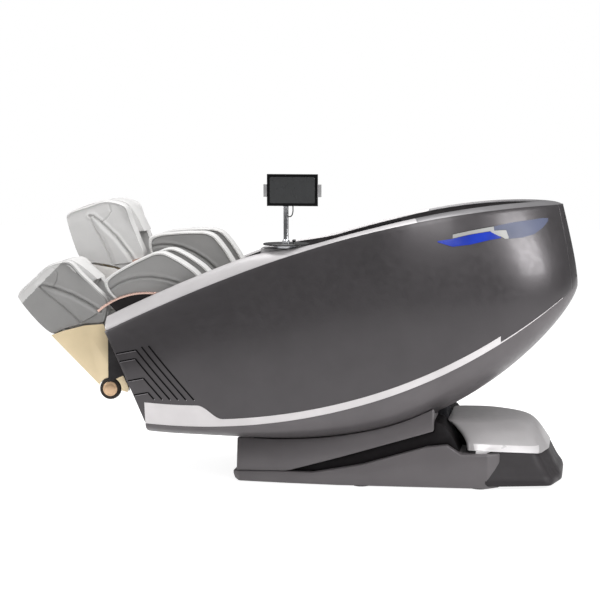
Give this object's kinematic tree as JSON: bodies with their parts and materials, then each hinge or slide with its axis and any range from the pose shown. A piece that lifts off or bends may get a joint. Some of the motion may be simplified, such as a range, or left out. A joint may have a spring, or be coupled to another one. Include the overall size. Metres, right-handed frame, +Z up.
{
  "type": "massage chair",
  "caption": "Boat-shaped lounge massage chair on a low base, with lifting and extending leg rests, a travelling massage carriage and a tablet on a swivelling mast.",
  "frame": {"origin": "on the floor, under the middle of the base", "axes": "+X to the head end, -Y to the sitter's left, +Z up"},
  "size_m": [2.0049, 0.8278, 1.104],
  "materials": {
    "base_grey": "satin grey moulding",
    "steel_dark": "dark grey powder coat",
    "recess_black": "matt black",
    "trim_silver": "bright silver paint",
    "cover_grey": "satin light grey moulding",
    "foot_rubber": "black rubber",
    "plain_steel": "ground steel",
    "shell_grey": "satin metallic dark grey paint",
    "rim_silver": "satin silver-grey paint",
    "rim_dark": "satin dark grey paint",
    "line_black": "matt black",
    "lamp_blue": "clear lacquer over blue",
    "lens_grey": "smoked lens",
    "liner_black": "gloss black",
    "pad_leather": "light grey leather",
    "chrome": "polished",
    "knob_black": "gloss black",
    "screen_glass": "dark glossy display",
    "leg_black": "gloss black",
    "rose_trim": "satin rose gold",
    "champagne": "satin champagne paint",
    "roller_ivory": "ivory",
    "wheel_brown": "dark tyre with champagne hub"
  },
  "bodies": {
    "base": {"base_frame": "steel_dark", "base_feet": "foot_rubber", "base_plinth": "base_grey", "base_cradle": "base_grey", "base_core": "recess_black", "base_cover": "cover_grey", "base_trim": "trim_silver", "power_inlet": "line_black", "hinge_pin": "plain_steel"},
    "recline_motor": {"recline_motor": "recess_black"},
    "recline_rod": {"recline_rod": "plain_steel"},
    "pod": {"pod_lugs": "steel_dark", "pod_frame": "steel_dark", "seat_pan": "steel_dark", "back_frame": "steel_dark", "belly_pan": "base_grey", "side_shell_left": "shell_grey", "side_shell_right": "shell_grey", "rear_panel": "rim_dark", "bottom_strips": "trim_silver", "vent_lines": "line_black", "blue_lamps": "lamp_blue", "lamp_lenses": "lens_grey", "rim_band_left": "rim_silver", "rim_band_right": "rim_silver", "rim_rear": "rim_dark", "liners": "liner_black", "bow_caps": "rim_dark", "seat_cushion": "pad_leather", "back_cushion": "pad_leather", "arm_pads": "pad_leather", "massage_rails": "plain_steel", "console": "cover_grey", "console_disc": "line_black"},
    "head_pillow": {"head_pillow": "pad_leather"},
    "massage_carriage": {"massage_carriage": "steel_dark"},
    "knead_rollers": {"knead_rollers": "roller_ivory"},
    "dial": {"dial_ring": "chrome"},
    "joystick": {"joystick": "knob_black"},
    "mast": {"mast": "chrome", "swivel_head": "cover_grey", "tablet_cable": "foot_rubber"},
    "tablet": {"tablet": "knob_black", "tablet_screen": "screen_glass"},
    "leg_left": {"leg_frame_left": "leg_black", "arc_trim_left": "rose_trim", "calf_pads_left": "pad_leather"},
    "foot_left": {"boot_left": "pad_leather", "foot_shell_left": "champagne", "foot_slides_left": "plain_steel"},
    "foot_rollers_left": {"foot_rollers_left": "roller_ivory"},
    "wheels_left": {"wheels_left": "wheel_brown"},
    "leg_right": {"leg_frame_right": "leg_black", "arc_trim_right": "rose_trim", "calf_pads_right": "pad_leather"},
    "foot_right": {"boot_right": "pad_leather", "foot_shell_right": "champagne", "foot_slides_right": "plain_steel"},
    "foot_rollers_right": {"foot_rollers_right": "roller_ivory"},
    "wheels_right": {"wheels_right": "wheel_brown"}
  },
  "joints": [
    {"name": "pod_recline", "type": "hinge", "parent": "base", "child": "pod", "pos_m": [0.15, 0, 0.222], "axis": [0, 1, 0], "range_deg": [0, 10]},
    {"name": "motor_swing", "type": "hinge", "parent": "base", "child": "recline_motor", "pos_m": [-0.43, 0, 0.05], "axis": [0, 1, 0], "range_deg": [-1.2, 0]},
    {"name": "rod_slide", "type": "slide", "parent": "recline_motor", "child": "recline_rod", "axis": [0.9985, 0, 0.0555], "range_m": [-0.024, 0]},
    {"name": "leg_lift_left", "type": "hinge", "parent": "pod", "child": "leg_left", "pos_m": [-0.67, -0.152, 0.541], "axis": [0, 1, 0], "range_deg": [-15, 35]},
    {"name": "leg_extend_left", "type": "slide", "parent": "leg_left", "child": "foot_left", "axis": [-0.7071, 0, -0.7071], "range_m": [0, 0.12]},
    {"name": "wheels_left", "type": "hinge", "parent": "foot_left", "child": "wheels_left", "pos_m": [-1.0278, -0.152, 0.32887], "axis": [0, 1, 0], "continuous": true},
    {"name": "foot_roller_spin_left", "type": "hinge", "parent": "foot_left", "child": "foot_rollers_left", "pos_m": [-1.15437, -0.152, 0.45968], "axis": [0, 1, 0], "continuous": true},
    {"name": "leg_lift_right", "type": "hinge", "parent": "pod", "child": "leg_right", "pos_m": [-0.67, 0.152, 0.541], "axis": [0, 1, 0], "range_deg": [-39, 11]},
    {"name": "leg_extend_right", "type": "slide", "parent": "leg_right", "child": "foot_right", "axis": [-0.9336, 0, -0.3584], "range_m": [0, 0.12]},
    {"name": "wheels_right", "type": "hinge", "parent": "foot_right", "child": "wheels_right", "pos_m": [-1.08314, 0.152, 0.49274], "axis": [0, 1, 0], "continuous": true},
    {"name": "foot_roller_spin_right", "type": "hinge", "parent": "foot_right", "child": "foot_rollers_right", "pos_m": [-1.14557, 0.152, 0.66372], "axis": [0, 1, 0], "continuous": true},
    {"name": "carriage_slide", "type": "slide", "parent": "pod", "child": "massage_carriage", "axis": [0.8192, 0, 0.5736], "range_m": [-0.17, 0.22]},
    {"name": "knead_spin", "type": "hinge", "parent": "massage_carriage", "child": "knead_rollers", "pos_m": [0.14802, 0, 0.55613], "axis": [0, 1, 0], "continuous": true},
    {"name": "pillow_flip", "type": "hinge", "parent": "pod", "child": "head_pillow", "pos_m": [0.38409, 0, 0.82397], "axis": [0, 1, 0], "range_deg": [0, 95]},
    {"name": "dial_turn", "type": "hinge", "parent": "pod", "child": "dial", "pos_m": [-0.39, -0.285, 0.847], "axis": [0, 0, 1], "range_deg": [-150, 150]},
    {"name": "knob_press", "type": "slide", "parent": "pod", "child": "joystick", "axis": [0, 0, -1], "range_m": [0, 0.0012], "stiffness_N_per_m": 300},
    {"name": "mast_swivel", "type": "hinge", "parent": "pod", "child": "mast", "pos_m": [-0.39, -0.285, 0.85], "axis": [0, 0, 1], "range_deg": [-110, 110]},
    {"name": "tablet_tilt", "type": "hinge", "parent": "mast", "child": "tablet", "pos_m": [-0.39, -0.289, 1.048], "axis": [-1, 0, 0], "range_deg": [0, 25]}
  ],
  "couplings": [
    {"joint": "motor_swing", "follows": "pod_recline", "ratio": -0.11},
    {"joint": "rod_slide", "follows": "pod_recline", "m_per_rad": -0.135}
  ]
}
